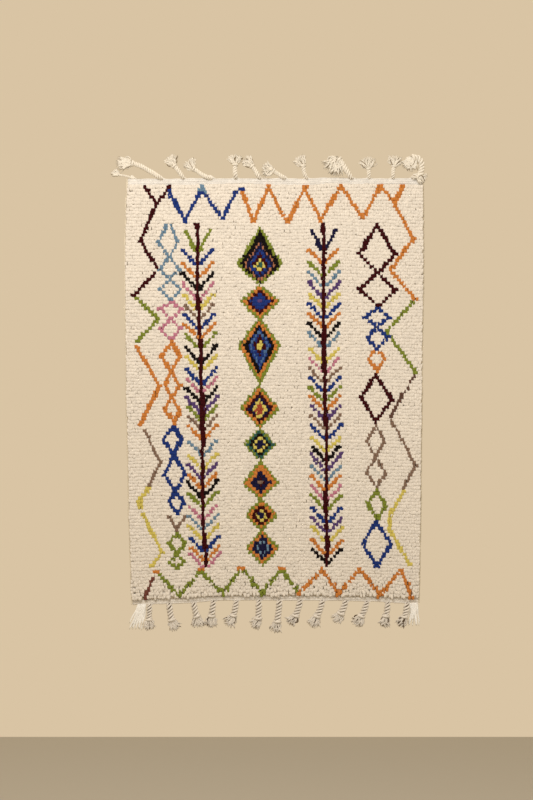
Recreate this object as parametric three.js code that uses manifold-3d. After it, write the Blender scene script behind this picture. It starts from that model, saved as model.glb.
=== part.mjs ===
// Azilal rug: a hand-knotted wool rug hung flat, face to the viewer.
// Millimetres, +Z up, +X to the right, the pile facing -Y and the flat back on y = 0.
// The origin is the middle of the top edge, on the plane that the back lies on.

import * as THREE from 'three';
import * as BufferGeometryUtils from 'three/addons/utils/BufferGeometryUtils.js';
import Module from 'manifold-3d';

const wasm = await Module();
wasm.setup();

// Driving sizes of the cloth
const BOTTOM_BAND_HEIGHT = 18;
const BAND_THICKNESS = 5.5;
const PILE_TOP = 21;
const PILE_ROWS = 129;
const PIECE_GAP = 0.4;

// Side edges of the ground weave, by how far down they are: the rug was never quite straight
const SIDE_EDGES = [
  { down: 21, left: -507, right: 507 },
  { down: 120, left: -512, right: 509 },
  { down: 300, left: -514, right: 509 },
  { down: 660, left: -511, right: 504 },
  { down: 1075, left: -502, right: 500 },
  { down: 1385, left: -493, right: 495 },
  { down: 1437, left: -490, right: 493 },
];

// The top edge of the end band, and the line where the pile ends, by how far across they are
const END_EDGES = [
  { across: -515, topEdge: 0.0, pileEnd: 1454 },
  { across: -380, topEdge: 1.5, pileEnd: 1449 },
  { across: -155, topEdge: -1.0, pileEnd: 1438 },
  { across: 90, topEdge: 0.8, pileEnd: 1437 },
  { across: 205, topEdge: -3.2, pileEnd: 1439 },
  { across: 290, topEdge: -0.8, pileEnd: 1441 },
  { across: 515, topEdge: 1.0, pileEnd: 1448 },
];

// Pile: thickness over the back, the relief of its rows, and its uneven rim
const PILE_THICKNESS = 15.6;
const ROW_RISE = 1.1;
const ROW_DIP = 1.3;
const ROW_CREST_AT = 0.72;
const LUMP = 0.8;
const WIDE_LUMP_SHARE = 0.65;
const WIDE_LUMP = { across: 83, down: 117 };
const TIGHT_LUMP = { across: 37, down: 61 };
const GROUND_THICKNESS = 7.5;
const RIM_INSET = 4;
const RIM_DROP = 3.4;
const LOCK_Y = -11;
const LOCK_UNEVEN = 1.2;
const LOCK_REACH = 3.0;
const LOCK_NOTCH = 0.6;
const LOCK_SPREAD = 2.2;
const FRONT_COLUMNS = [0, 0.012, 0.15, 0.32, 0.5, 0.68, 0.85, 0.988, 1];
const RIM_LOCKS = 60;
const CORNER_WAY = Math.SQRT1_2;
const WALL_STEPS_ACROSS = 16;
const WALL_STEPS_DOWN = 14;

// Side cords, held a little off the ground weave and the back plane
const CORD_RADIUS = 3;
const CORD_SIDES = 6;
const CORD_STEPS = 22;
const CORD_SIDE_GAP = 0.7;
const CORD_BACK_GAP = 0.5;
const CORD_TOP = 2;
const CORD_END_ABOVE_BAND = 2;

// Tassels: a twisted cord with a knot near its end, then a mop of loose strands
const TASSEL_RADIUS = 8;
const TASSEL_SIDES = 4;
const TASSEL_TURN_LENGTH = 78;
const TASSEL_STEP_LENGTH = 11;
const TASSEL_BACK_GAP = 0.6;
const TASSEL_ROOT_DEPTH = 6;
const TASSEL_BOW_AT = 0.42;
const CORD_WAIST = 0.9;
const KNOT_SWELL = 1.2;
const KNOT_FROM_END = 8;
const KNOT_HALF_LENGTH = 9;
const STRAND_SIDES = 3;
const STRAND_RADIUS = 3.4;
const STRAND_TAPER = 0.4;
const STRAND_START_BACK = 6;
const STRAND_SPREAD_AT_ROOT = 0.9;
const STRAND_JUMBLE = 0.2;
const STRAND_SHORTER_AT_SIDE = 0.3;
const STRAND_SHORTEST = 0.9;
const STRAND_UNEVEN = 0.15;
const STRAND_BEND_AT = 0.55;
const STRAND_BEND = 3;
const STRAND_FRONT = -1.5;
const STRAND_BACK = 2;
const LONG_MOP = 46;

// Top tassels: the points a cord passes from the band to its knot, as [across, up], then the
// length of its loose strands, the way they point and how far they fan, both as angles
const TOP_TASSELS = [
  { path: [[-489, -8], [-507, 6], [-542, 13]], size: 0.5, strands: 3, mop: 24, points: 125, fan: 50 },
  {
    path: [[-384, -8], [-425, 20], [-467, 43], [-496, 52]],
    size: 1.05, strands: 5, mop: 50, points: 182, fan: 44,
  },
  { path: [[-312, -8], [-331, 22], [-350, 47]], size: 1, strands: 4, mop: 34, points: 114, fan: 74 },
  {
    path: [[-208, -8], [-246, 9], [-272, 26], [-284, 36]],
    size: 0.95, strands: 4, mop: 32, points: 128, fan: 74,
  },
  { path: [[-135, -8], [-138, 24], [-137, 52]], size: 1.05, strands: 4, mop: 30, points: 95, fan: 74 },
  { path: [[-50, -8], [-66, 22], [-82, 46]], size: 1, strands: 4, mop: 34, points: 138, fan: 62 },
  { path: [[45, -8], [20, 8], [-10, 27]], size: 0.95, strands: 4, mop: 36, points: 172, fan: 68 },
  { path: [[112, -8], [100, 20], [97, 48]], size: 0.95, strands: 4, mop: 32, points: 125, fan: 62 },
  {
    path: [[268, -8], [244, 28], [228, 54], [212, 64]],
    size: 1.1, strands: 6, mop: 60, points: 232, fan: 60,
  },
  { path: [[324, -8], [323, 18], [322, 38]], size: 0.9, strands: 5, mop: 36, points: 95, fan: 84 },
  { path: [[406, -8], [407, 22], [411, 46]], size: 0.95, strands: 4, mop: 32, points: 75, fan: 84 },
  {
    path: [[490, -10], [504, 24], [504, 52], [490, 70], [472, 68]],
    size: 1.1, strands: 5, mop: 44, points: 246, fan: 60,
  },
  { path: [[474, -8], [486, 8], [498, 12]], size: 0.85, strands: 3, mop: 18, points: 350, fan: 46 },
];

// Bottom tassels hang: where each leaves the band, where and how far down its cord ends, its mop
const BOTTOM_TASSELS = [
  { root: -432, end: -434, down: 1528, size: 1.05, strands: 3, mop: 30, points: 275, fan: 56 },
  { root: -365, end: -355, down: 1528, size: 1.2, strands: 4, mop: 34, points: 300, fan: 52 },
  { root: -281, end: -268, down: 1514, size: 1.2, strands: 4, mop: 34, points: 275, fan: 80 },
  { root: -212, end: -219, down: 1513, size: 1.2, strands: 4, mop: 36, points: 265, fan: 68 },
  { root: -132, end: -145, down: 1512, size: 1.15, strands: 3, mop: 38, points: 232, fan: 52 },
  { root: -55, end: -58, down: 1522, size: 1.2, strands: 4, mop: 34, points: 236, fan: 56 },
  { root: 16, end: 7, down: 1534, size: 1.2, strands: 4, mop: 38, points: 250, fan: 62 },
  { root: 88, end: 69, down: 1512, size: 1.2, strands: 4, mop: 36, points: 225, fan: 56 },
  { root: 165, end: 142, down: 1514, size: 1.2, strands: 4, mop: 38, points: 248, fan: 74 },
  { root: 245, end: 224, down: 1504, size: 1.25, strands: 4, mop: 34, points: 230, fan: 56 },
  { root: 318, end: 295, down: 1514, size: 1.15, strands: 4, mop: 36, points: 236, fan: 68 },
  { root: 389, end: 381, down: 1514, size: 1.15, strands: 3, mop: 34, points: 255, fan: 56 },
  { root: 456, end: 444, down: 1517, size: 1.15, strands: 4, mop: 32, points: 238, fan: 62 },
];

// Corner brushes: warp ends left loose, so they hang as single strands
const CORNER_BRUSHES = [
  { root: -458, foot: -481, down: 1560, strands: 6, width: 42 },
  { root: 479, foot: 474, down: 1546, strands: 6, width: 44 },
];
const BRUSH_ROOT_WIDTH = 20;
const BRUSH_ROOT_DEPTH = 7;
const BRUSH_UNEVEN = 22;
const BRUSH_ROOT_Y = -4;
const BRUSH_TIP_Y = -5;
const BRUSH_TIP_SPREAD = 2;
const BRUSH_BEND = 5;
const BRUSH_STEPS = 3;

const PALETTE = {
  pile: { color: 0xe6dcc6, roughness: 0.95, metalness: 0 },
  selvedge: { color: 0xded3bc, roughness: 0.95, metalness: 0 },
  fringe: { color: 0xe2d7c0, roughness: 0.95, metalness: 0 },
};

// Plain helpers
function smooth(t) {
  return t * t * (3 - 2 * t);
}

function readTable(rows, key, at, column) {
  const last = rows.length - 1;
  if (at <= rows[0][key]) return rows[0][column];
  if (at >= rows[last][key]) return rows[last][column];
  const next = rows.findIndex((row) => row[key] > at);
  const low = rows[next - 1];
  const high = rows[next];
  const part = smooth((at - low[key]) / (high[key] - low[key]));
  return low[column] + (high[column] - low[column]) * part;
}

function jitter(index, seed) {
  const value = Math.sin(index * 12.9898 + seed * 78.233) * 43758.5453;
  return value - Math.floor(value);
}

function leftEdge(down) {
  return readTable(SIDE_EDGES, 'down', down, 'left');
}

function rightEdge(down) {
  return readTable(SIDE_EDGES, 'down', down, 'right');
}

function topEdge(across) {
  return readTable(END_EDGES, 'across', across, 'topEdge');
}

function pileTop(across) {
  return PILE_TOP + topEdge(across);
}

function pileEnd(across) {
  return readTable(END_EDGES, 'across', across, 'pileEnd');
}

// The place on the rug a share u across and v down the pile, as across and down
function pilePoint(u, v) {
  const roughDown = PILE_TOP + v * (pileEnd(0) - PILE_TOP);
  const across = leftEdge(roughDown) + u * (rightEdge(roughDown) - leftEdge(roughDown));
  const down = pileTop(across) + v * (pileEnd(across) - pileTop(across));
  return { across, down };
}

function lumps(across, down) {
  const wide = Math.sin(across / WIDE_LUMP.across + 1.3) * Math.cos(down / WIDE_LUMP.down - 0.4);
  const tight = Math.sin(across / TIGHT_LUMP.across - down / TIGHT_LUMP.down + 2.1);
  return LUMP * (WIDE_LUMP_SHARE * wide + (1 - WIDE_LUMP_SHARE) * tight);
}

function closedGeometry(positions, triangles) {
  const geometry = new THREE.BufferGeometry();
  geometry.setAttribute('position', new THREE.Float32BufferAttribute(positions, 3));
  geometry.setIndex(triangles);
  geometry.computeVertexNormals();
  return geometry;
}

// Skin a run of rings that all have the same number of points, and cap both ends
function loftRings(rings) {
  const count = rings[0].length;
  const positions = rings.flat().flatMap((point) => [point.x, point.y, point.z]);
  const triangles = [];
  for (let ring = 0; ring < rings.length - 1; ring += 1) {
    for (let side = 0; side < count; side += 1) {
      const a = ring * count + side;
      const b = ring * count + ((side + 1) % count);
      triangles.push(a, b, b + count);
      triangles.push(a, b + count, a + count);
    }
  }
  const lastRing = (rings.length - 1) * count;
  for (let side = 1; side < count - 1; side += 1) {
    triangles.push(0, side + 1, side);
    triangles.push(lastRing, lastRing + side, lastRing + side + 1);
  }
  return closedGeometry(positions, triangles);
}

// A tube along a curve that lies in the plane of the rug, its section turning as yarn does
function twistedTube(curve, steps, sides, radiusAt, turnAt) {
  const outOfPlane = new THREE.Vector3(0, -1, 0);
  const rings = [];
  for (let step = 0; step <= steps; step += 1) {
    const t = step / steps;
    const centre = curve.getPointAt(t);
    const along = curve.getTangentAt(t);
    const sideways = new THREE.Vector3().crossVectors(along, outOfPlane).normalize();
    const lift = new THREE.Vector3().crossVectors(along, sideways).normalize();
    const ring = [];
    for (let side = 0; side < sides; side += 1) {
      const angle = (side / sides) * Math.PI * 2 + turnAt(t);
      const point = centre.clone();
      point.addScaledVector(sideways, Math.cos(angle) * radiusAt(t));
      point.addScaledVector(lift, Math.sin(angle) * radiusAt(t));
      ring.push(point);
    }
    rings.push(ring);
  }
  return loftRings(rings);
}

function toManifold(geometry) {
  const bare = geometry.clone();
  bare.deleteAttribute('normal');
  bare.deleteAttribute('uv');
  const merged = BufferGeometryUtils.mergeVertices(bare, 1e-4);
  return new wasm.Manifold(new wasm.Mesh({
    numProp: 3,
    vertProperties: new Float32Array(merged.attributes.position.array),
    triVerts: new Uint32Array(merged.index.array),
  }));
}

function fromManifold(solid) {
  const mesh = solid.getMesh();
  return closedGeometry(Array.from(mesh.vertProperties), Array.from(mesh.triVerts));
}

function uniteAll(geometries) {
  let whole = toManifold(geometries[0]);
  for (const geometry of geometries.slice(1)) {
    whole = whole.add(toManifold(geometry));
  }
  return fromManifold(whole);
}

function namedMesh(name, geometry, look) {
  const mesh = new THREE.Mesh(geometry, new THREE.MeshStandardMaterial(look));
  mesh.name = name;
  return mesh;
}

// Join two lines of points that run the same way, each point carrying its share t along the
// line. The first line lies to the left of the second as seen along them from outside.
function zipLines(first, second, triangles) {
  let a = 0;
  let b = 0;
  while (a < first.length - 1 || b < second.length - 1) {
    const canA = a < first.length - 1;
    const canB = b < second.length - 1;
    if (canA && (!canB || first[a + 1].t <= second[b + 1].t)) {
      triangles.push(first[a].index, second[b].index, first[a + 1].index);
      a += 1;
    } else {
      triangles.push(first[a].index, second[b].index, second[b + 1].index);
      b += 1;
    }
  }
}

// The pile field: rows of pile on the front, a rim of locks, a flat back
function buildPileField() {
  const positions = [];
  const triangles = [];

  function addVertex(across, y, down, t) {
    positions.push(across, y, -down);
    return { index: positions.length / 3 - 1, t };
  }

  // Front face, line by line from the top, a trough and a crest for each row of knots
  const lineShares = [0];
  for (let row = 0; row < PILE_ROWS; row += 1) {
    lineShares.push((row + ROW_CREST_AT) / PILE_ROWS);
    lineShares.push((row + 1) / PILE_ROWS);
  }
  const lastLine = lineShares.length - 1;
  const rimColumns = Array.from({ length: RIM_LOCKS + 1 }, (_, i) => i / RIM_LOCKS);
  const frontLines = lineShares.map((v, line) => {
    const onEnd = line === 0 || line === lastLine;
    const columns = onEnd ? rimColumns : FRONT_COLUMNS;
    return columns.map((u) => {
      const place = pilePoint(u, v);
      const onRim = onEnd || u === 0 || u === 1;
      const isCrest = line % 2 === 1;
      const relief = isCrest ? ROW_RISE : -ROW_DIP;
      const height = PILE_THICKNESS + relief + lumps(place.across, place.down) - (onRim ? RIM_DROP : 0);
      const insetX = u === 0 ? RIM_INSET : (u === 1 ? -RIM_INSET : 0);
      const insetDown = line === 0 ? RIM_INSET : (line === lastLine ? -RIM_INSET : 0);
      return addVertex(place.across + insetX, -height, place.down + insetDown, u);
    });
  });
  for (let line = 0; line < lastLine; line += 1) {
    zipLines(frontLines[line], frontLines[line + 1], triangles);
  }

  // The rim of the front face as one ring, t running 0 to 4 around it from the top left
  const ring = [];
  const topLine = frontLines[0];
  const endLine = frontLines[lastLine];
  topLine.slice(0, -1).forEach((point, i) => {
    ring.push({ index: point.index, t: point.t, u: point.t, v: 0, outward: [0, -1], lock: i % 2 });
  });
  frontLines.slice(0, -1).forEach((points, line) => {
    const v = lineShares[line];
    const corner = points[points.length - 1];
    const outward = line === 0 ? [CORNER_WAY, -CORNER_WAY] : [1, 0];
    ring.push({ index: corner.index, t: 1 + v, u: 1, v, outward, lock: line % 2 });
  });
  endLine.slice(1).reverse().forEach((point, i) => {
    const outward = i === 0 ? [CORNER_WAY, CORNER_WAY] : [0, 1];
    ring.push({ index: point.index, t: 3 - point.t, u: point.t, v: 1, outward, lock: i % 2 });
  });
  frontLines.slice(1).reverse().forEach((points, i) => {
    const line = lastLine - i;
    const v = lineShares[line];
    const outward = i === 0 ? [-CORNER_WAY, CORNER_WAY] : [-1, 0];
    ring.push({ index: points[0].index, t: 4 - v, u: 0, v, outward, lock: line % 2 });
  });

  // Locks: the widest ring, standing out over the side cords and end bands
  const locks = ring.map((point, i) => {
    const place = pilePoint(point.u, point.v);
    const reach = (point.lock ? LOCK_REACH : LOCK_NOTCH) + LOCK_SPREAD * (jitter(i, 3) - 0.5);
    const across = place.across + point.outward[0] * reach;
    const down = place.down + point.outward[1] * reach;
    return addVertex(across, LOCK_Y - LOCK_UNEVEN * jitter(i, 5), down, point.t);
  });
  for (let i = 0; i < ring.length; i += 1) {
    const j = (i + 1) % ring.length;
    triangles.push(ring[i].index, ring[j].index, locks[j].index);
    triangles.push(ring[i].index, locks[j].index, locks[i].index);
  }

  // The ground weave's own edge, at its front and on the back plane
  const wall = [];
  for (let i = 0; i < WALL_STEPS_ACROSS; i += 1) {
    wall.push({ u: i / WALL_STEPS_ACROSS, v: 0, t: i / WALL_STEPS_ACROSS });
  }
  for (let i = 0; i < WALL_STEPS_DOWN; i += 1) {
    wall.push({ u: 1, v: i / WALL_STEPS_DOWN, t: 1 + i / WALL_STEPS_DOWN });
  }
  for (let i = 0; i < WALL_STEPS_ACROSS; i += 1) {
    wall.push({ u: 1 - i / WALL_STEPS_ACROSS, v: 1, t: 2 + i / WALL_STEPS_ACROSS });
  }
  for (let i = 0; i < WALL_STEPS_DOWN; i += 1) {
    wall.push({ u: 0, v: 1 - i / WALL_STEPS_DOWN, t: 3 + i / WALL_STEPS_DOWN });
  }
  const wallPlaces = wall.map((point) => pilePoint(point.u, point.v));
  const wallFront = wall.map((point, i) => {
    return addVertex(wallPlaces[i].across, -GROUND_THICKNESS, wallPlaces[i].down, point.t);
  });
  const wallBack = wall.map((point, i) => {
    return addVertex(wallPlaces[i].across, 0, wallPlaces[i].down, point.t);
  });
  const closedLocks = [...locks, { index: locks[0].index, t: 4 }];
  const closedWall = [...wallFront, { index: wallFront[0].index, t: 4 }];
  zipLines(closedWall, closedLocks, triangles);
  for (let i = 0; i < wall.length; i += 1) {
    const j = (i + 1) % wall.length;
    triangles.push(wallFront[i].index, wallFront[j].index, wallBack[j].index);
    triangles.push(wallFront[i].index, wallBack[j].index, wallBack[i].index);
  }

  // Flat back
  const outline = wallPlaces.map((place) => new THREE.Vector2(place.across, -place.down));
  const faces = THREE.ShapeUtils.triangulateShape(outline, []);
  for (const face of faces) {
    triangles.push(wallBack[face[0]].index, wallBack[face[2]].index, wallBack[face[1]].index);
  }
  return closedGeometry(positions, triangles);
}

// A side cord beside the ground weave, from the top band to the bottom one
function buildSelvedge(side) {
  const edge = side < 0 ? leftEdge : rightEdge;
  const corner = pilePoint(side < 0 ? 0 : 1, 1);
  const end = corner.down + BOTTOM_BAND_HEIGHT - CORD_END_ABOVE_BAND;
  const points = [];
  for (let step = 0; step <= CORD_STEPS; step += 1) {
    const down = CORD_TOP + (step / CORD_STEPS) * (end - CORD_TOP);
    const across = edge(down) + side * (CORD_RADIUS + CORD_SIDE_GAP);
    points.push(new THREE.Vector3(across, -CORD_RADIUS - CORD_BACK_GAP, -down));
  }
  const curve = new THREE.CatmullRomCurve3(points);
  return twistedTube(curve, CORD_STEPS, CORD_SIDES, () => CORD_RADIUS, () => Math.PI / CORD_SIDES);
}

// A flat-woven end band, its front a little crowned, along one end of the pile
function buildBand(pileShare, upperGap, lowerGap) {
  const crown = [
    { part: 0, rise: 0.7 },
    { part: 0.15, rise: 0.94 },
    { part: 0.5, rise: 1 },
    { part: 0.85, rise: 0.94 },
    { part: 1, rise: 0.7 },
  ];
  const rings = [];
  for (let step = 0; step <= WALL_STEPS_ACROSS; step += 1) {
    const place = pilePoint(step / WALL_STEPS_ACROSS, pileShare);
    const upper = place.down + upperGap;
    const lower = place.down + lowerGap;
    const ring = [new THREE.Vector3(place.across, 0, -upper)];
    for (const point of crown) {
      const down = upper + (lower - upper) * point.part;
      ring.push(new THREE.Vector3(place.across, -BAND_THICKNESS * point.rise, -down));
    }
    ring.push(new THREE.Vector3(place.across, 0, -lower));
    rings.push(ring);
  }
  return loftRings(rings);
}

// The loose strands past a tassel's knot, fanning out from the end of its cord
function buildMop(tassel, end, radius, middle, seed) {
  const heading = THREE.MathUtils.degToRad(tassel.points);
  const forward = new THREE.Vector3(Math.cos(heading), 0, Math.sin(heading));
  const over = new THREE.Vector3(-Math.sin(heading), 0, Math.cos(heading));
  const strandSteps = tassel.mop > LONG_MOP ? 2 : 1;
  const parts = [];
  for (let strand = 0; strand < tassel.strands; strand += 1) {
    const share = strand / (tassel.strands - 1) - 0.5;
    const jumble = STRAND_JUMBLE * (jitter(strand, seed) - 0.5);
    const swing = THREE.MathUtils.degToRad(tassel.fan) * share + jumble;
    const uneven = STRAND_SHORTEST + STRAND_UNEVEN * jitter(strand, seed + 7);
    const reach = tassel.mop * (1 - STRAND_SHORTER_AT_SIDE * Math.abs(share)) * uneven;
    const root = end.clone().addScaledVector(over, share * radius * STRAND_SPREAD_AT_ROOT);
    const start = root.clone().addScaledVector(forward, -STRAND_START_BACK);
    const tip = root.clone();
    tip.addScaledVector(forward, Math.cos(swing) * reach);
    tip.addScaledVector(over, Math.sin(swing) * reach);
    tip.y = middle + (strand % 2 === 0 ? STRAND_FRONT : STRAND_BACK);
    const bend = new THREE.Vector3().lerpVectors(start, tip, STRAND_BEND_AT);
    bend.addScaledVector(over, STRAND_BEND * (jitter(strand, seed + 13) - 0.5));
    const curve = new THREE.CatmullRomCurve3([start, bend, tip]);
    const radiusAt = (t) => STRAND_RADIUS * (1 - STRAND_TAPER * t);
    parts.push(twistedTube(curve, strandSteps, STRAND_SIDES, radiusAt, () => seed + strand));
  }
  return parts;
}

// One tassel: a twisted cord with a knot near its end, and its mop
function buildTassel(path, tassel, seed) {
  const radius = TASSEL_RADIUS * tassel.size;
  const middle = -radius - TASSEL_BACK_GAP;
  const points = path.map(([across, up]) => new THREE.Vector3(across, middle, up));
  const curve = new THREE.CatmullRomCurve3(points);
  const length = curve.getLength();
  const steps = Math.max(4, Math.round(length / TASSEL_STEP_LENGTH));
  const knotAt = 1 - KNOT_FROM_END / length;
  const radiusAt = (t) => {
    const nearKnot = Math.max(0, 1 - Math.abs(t - knotAt) * length / KNOT_HALF_LENGTH);
    const wanted = radius * (CORD_WAIST + (KNOT_SWELL - CORD_WAIST) * nearKnot);
    return Math.min(wanted, radius + TASSEL_BACK_GAP / 2);
  };
  const turnAt = (t) => (t * length / TASSEL_TURN_LENGTH) * Math.PI * 2 + seed;
  const cord = twistedTube(curve, steps, TASSEL_SIDES, radiusAt, turnAt);
  return [cord, ...buildMop(tassel, curve.getPointAt(1), radius, middle, seed)];
}

function buildBrush(brush, bandBottom, seed) {
  const parts = [];
  for (let strand = 0; strand < brush.strands; strand += 1) {
    const share = strand / (brush.strands - 1) - 0.5;
    const rootAcross = brush.root + share * BRUSH_ROOT_WIDTH;
    const rootUp = -(bandBottom(rootAcross) - BRUSH_ROOT_DEPTH);
    const start = new THREE.Vector3(rootAcross, BRUSH_ROOT_Y, rootUp);
    const tip = new THREE.Vector3(
      brush.foot + share * brush.width,
      BRUSH_TIP_Y - BRUSH_TIP_SPREAD * jitter(strand, seed + 3),
      -(brush.down - BRUSH_UNEVEN * jitter(strand, seed)),
    );
    const bend = new THREE.Vector3().lerpVectors(start, tip, 0.5);
    bend.x += BRUSH_BEND * (jitter(strand, seed + 9) - 0.5);
    const curve = new THREE.CatmullRomCurve3([start, bend, tip]);
    const radiusAt = (t) => STRAND_RADIUS * (1 - STRAND_TAPER * t);
    parts.push(twistedTube(curve, BRUSH_STEPS, STRAND_SIDES, radiusAt, () => seed + strand));
  }
  return parts;
}

function buildTopFringe() {
  const parts = [buildBand(0, -PILE_TOP, -PIECE_GAP)];
  TOP_TASSELS.forEach((tassel, i) => {
    parts.push(...buildTassel(tassel.path, tassel, i + 1));
  });
  return uniteAll(parts);
}

function buildBottomFringe() {
  const lower = (across) => pileEnd(across) + BOTTOM_BAND_HEIGHT;
  const parts = [buildBand(1, PIECE_GAP, BOTTOM_BAND_HEIGHT)];
  BOTTOM_TASSELS.forEach((tassel, i) => {
    const rootUp = -(lower(tassel.root) - TASSEL_ROOT_DEPTH);
    const bowUp = (rootUp - tassel.down) / 2;
    const bow = tassel.root + (tassel.end - tassel.root) * TASSEL_BOW_AT;
    const path = [[tassel.root, rootUp], [bow, bowUp], [tassel.end, -tassel.down]];
    parts.push(...buildTassel(path, tassel, i + 31));
  });
  CORNER_BRUSHES.forEach((brush, i) => {
    parts.push(...buildBrush(brush, lower, i + 61));
  });
  return uniteAll(parts);
}

const rug = new THREE.Group();
rug.name = 'azilal_rug';
rug.add(namedMesh('pile_field', buildPileField(), PALETTE.pile));
rug.add(namedMesh('selvedge_left', buildSelvedge(-1), PALETTE.selvedge));
rug.add(namedMesh('selvedge_right', buildSelvedge(1), PALETTE.selvedge));
rug.add(namedMesh('top_fringe', buildTopFringe(), PALETTE.fringe));
rug.add(namedMesh('bottom_fringe', buildBottomFringe(), PALETTE.fringe));

export default rug;
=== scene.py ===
import math

import bpy
import numpy as np
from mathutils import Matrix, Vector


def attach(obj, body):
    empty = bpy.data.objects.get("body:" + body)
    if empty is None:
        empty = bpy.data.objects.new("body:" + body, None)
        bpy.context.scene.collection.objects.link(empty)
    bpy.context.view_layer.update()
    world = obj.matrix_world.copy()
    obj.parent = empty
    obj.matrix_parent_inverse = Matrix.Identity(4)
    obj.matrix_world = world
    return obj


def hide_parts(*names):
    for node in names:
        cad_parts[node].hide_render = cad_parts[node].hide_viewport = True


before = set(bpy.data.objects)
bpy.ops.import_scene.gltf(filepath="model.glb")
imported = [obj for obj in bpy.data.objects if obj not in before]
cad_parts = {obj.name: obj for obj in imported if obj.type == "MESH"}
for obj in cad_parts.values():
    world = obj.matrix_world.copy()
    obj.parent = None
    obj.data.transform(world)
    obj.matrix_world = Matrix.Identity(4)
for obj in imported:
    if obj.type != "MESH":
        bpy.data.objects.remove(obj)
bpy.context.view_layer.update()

MM = 0.001
SEED = 20
dice = np.random.default_rng(SEED)


def columns(names, *rows):
    """A table as one array for each named column."""
    return {name: np.array(values, float) for name, values in zip(names.split(), zip(*rows))}


# Outline of the cloth, as in the solids
SIDE_EDGES = columns(
    "down left right",
    (21, -507, 507),
    (120, -512, 509),
    (300, -514, 509),
    (660, -511, 504),
    (1075, -502, 500),
    (1385, -493, 495),
    (1437, -490, 493),
)
END_EDGES = columns(
    "across top pile_end",
    (-515, 0.0, 1454),
    (-380, 1.5, 1449),
    (-155, -1.0, 1438),
    (90, 0.8, 1437),
    (205, -3.2, 1439),
    (290, -0.8, 1441),
    (515, 1.0, 1448),
)
PILE_TOP = 25

# Woven end bands. Rows of waves hold a height, the length of one radian, and a phase.
BAND_GAP = 0.4
BOTTOM_BAND_HEIGHT = 18
BAND_THICKNESS = 7.5
BAND_FLAT_SHARE = 0.42
BAND_CROWN_SHARE = 0.12
BAND_BACK = -0.3
BAND_STEPS = 340
BAND_UNEVEN = 1.3
BAND_INNER_SHARE = 0.3
BAND_EDGE_WAVES = ((1, 61, 0.6), (0.6, 23, 1.0), (0.4, 8, 0))
TOP_BAND_RIBS = 4
BOTTOM_BAND_RIBS = 3
RIB_STEPS = 4
RIB_HEIGHT = 2.6
RIB_OVER_WARP = 0.5
RIB_DRIFT = 0.8
RIB_WAVES = ((0.55, 43, 2.3), (0.35, 17, -1.1))
WARP_TURN = 2.1

# Knots, each with two locks of yarn side by side, cut level
COLUMNS = 87
ROWS = 129
CREAM_BANDS = 4
LOCKS_PER_KNOT = 2
LOCK_COLUMNS = COLUMNS * LOCKS_PER_KNOT
LOCK_SIDES = 4
LOCK_RINGS = columns(
    "below_tip tall wide",
    (13.6, 3.2, 3.2),
    (2.4, 9.5, 6.3),
    (0.5, 5.6, 4.3),
)
LOCK_UNEVEN = 0.15
ROOT_SHARE = -0.34
ROOT_HEIGHT = 0.1
ROOT_SCATTER_ACROSS = 0.45
ROOT_SCATTER_UP = 0.5
ROW_WAVES = ((1.1, 88, 0.11),)
LEAN = 0.6
LEAN_UNEVEN = 0.08
LEAN_WAVES = ((0.025, 51, 1.7), (0.025, -23, 0.63))
SWAY = 0.07
DYED_SWAY = 0.12
DYED_RISE = 0.5
PILE_HEIGHT = 15.4
HEIGHT_UNEVEN = 0.45
SHAGGY_ROWS = 8
SHAGGY_UNEVEN = 1.6

# Slow lumps of the pile: broad swells, and narrower waves on a slant. Each has its height and
# the lengths of one radian across and down.
SWELL_HEIGHT = 0.55
SWELL_ACROSS = 83
SWELL_DOWN = 117
SLANT_HEIGHT = 0.3
SLANT_ACROSS = 37
SLANT_DOWN = 61

# Lines of the pattern, in knots
LINE_WIDTH = 1.05
THIN_WIDTH = 0.75
THIN_YARNS = ("taupe", "brown", "pink", "steel")
STEM_WIDTH = 1.15
SLANT_WIDENS = 0.25

# Ground weave
GROUND_FRONT = -4.8
GROUND_BACK = -1.1
GROUND_COLUMNS = 44
WEFTS_PER_ROW = 2
WEFT_RISE = 0.22
ROW_GROOVE = 0.7

# Yarn colours as seen in daylight, red, green and blue from 0 to 255
YARNS = {
    "cream": (231, 224, 214),
    "maroon": (58, 12, 16),
    "black": (22, 16, 17),
    "brown": (96, 70, 60),
    "taupe": (130, 107, 92),
    "russet": (116, 70, 60),
    "tan": (164, 110, 80),
    "orange": (198, 125, 60),
    "red": (160, 76, 52),
    "yellow": (206, 191, 98),
    "green": (122, 134, 52),
    "teal": (50, 92, 82),
    "steel": (106, 134, 158),
    "sky": (74, 104, 148),
    "blue": (32, 54, 122),
    "navy": (26, 25, 58),
    "purple": (88, 66, 116),
    "pink": (186, 120, 142),
}

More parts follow.
